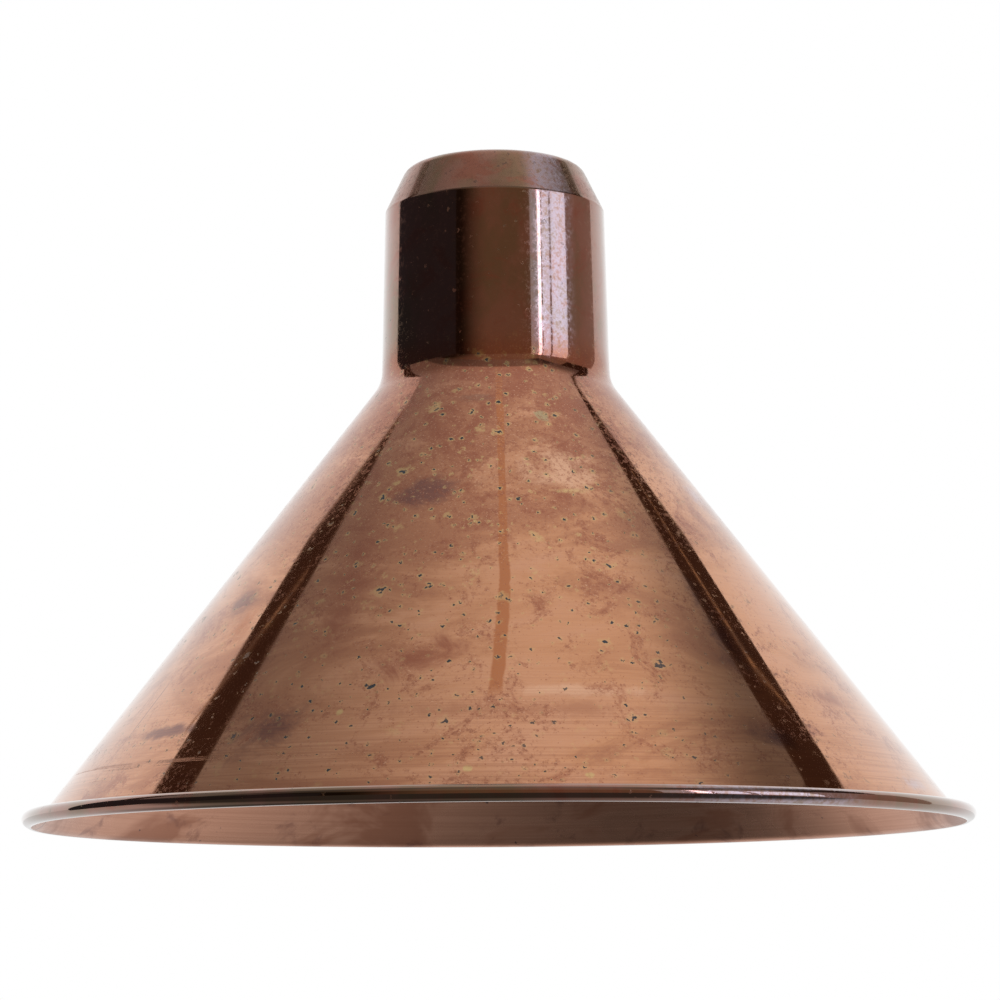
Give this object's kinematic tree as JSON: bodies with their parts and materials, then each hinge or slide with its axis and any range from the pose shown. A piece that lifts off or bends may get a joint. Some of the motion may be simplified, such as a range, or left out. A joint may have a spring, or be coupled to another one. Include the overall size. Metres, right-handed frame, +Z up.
{
  "type": "lampshade",
  "caption": "Spun copper lampshade: a straight cone with a narrow neck, a sloped shoulder, a flat top with a round hole, and a rim rolled outwards into a bead.",
  "frame": {"origin": "on the shade's axis, in the plane that its rim rests on, at the bottom centre of its box", "axes": "+Z up along the axis, from the open mouth to the holed top; -Y towards the side that the picture shows"},
  "size_m": [0.32, 0.32, 0.229],
  "materials": {
    "copper": "satin"
  },
  "bodies": {
    "root": {"lampshade": "copper"}
  },
  "joints": []
}
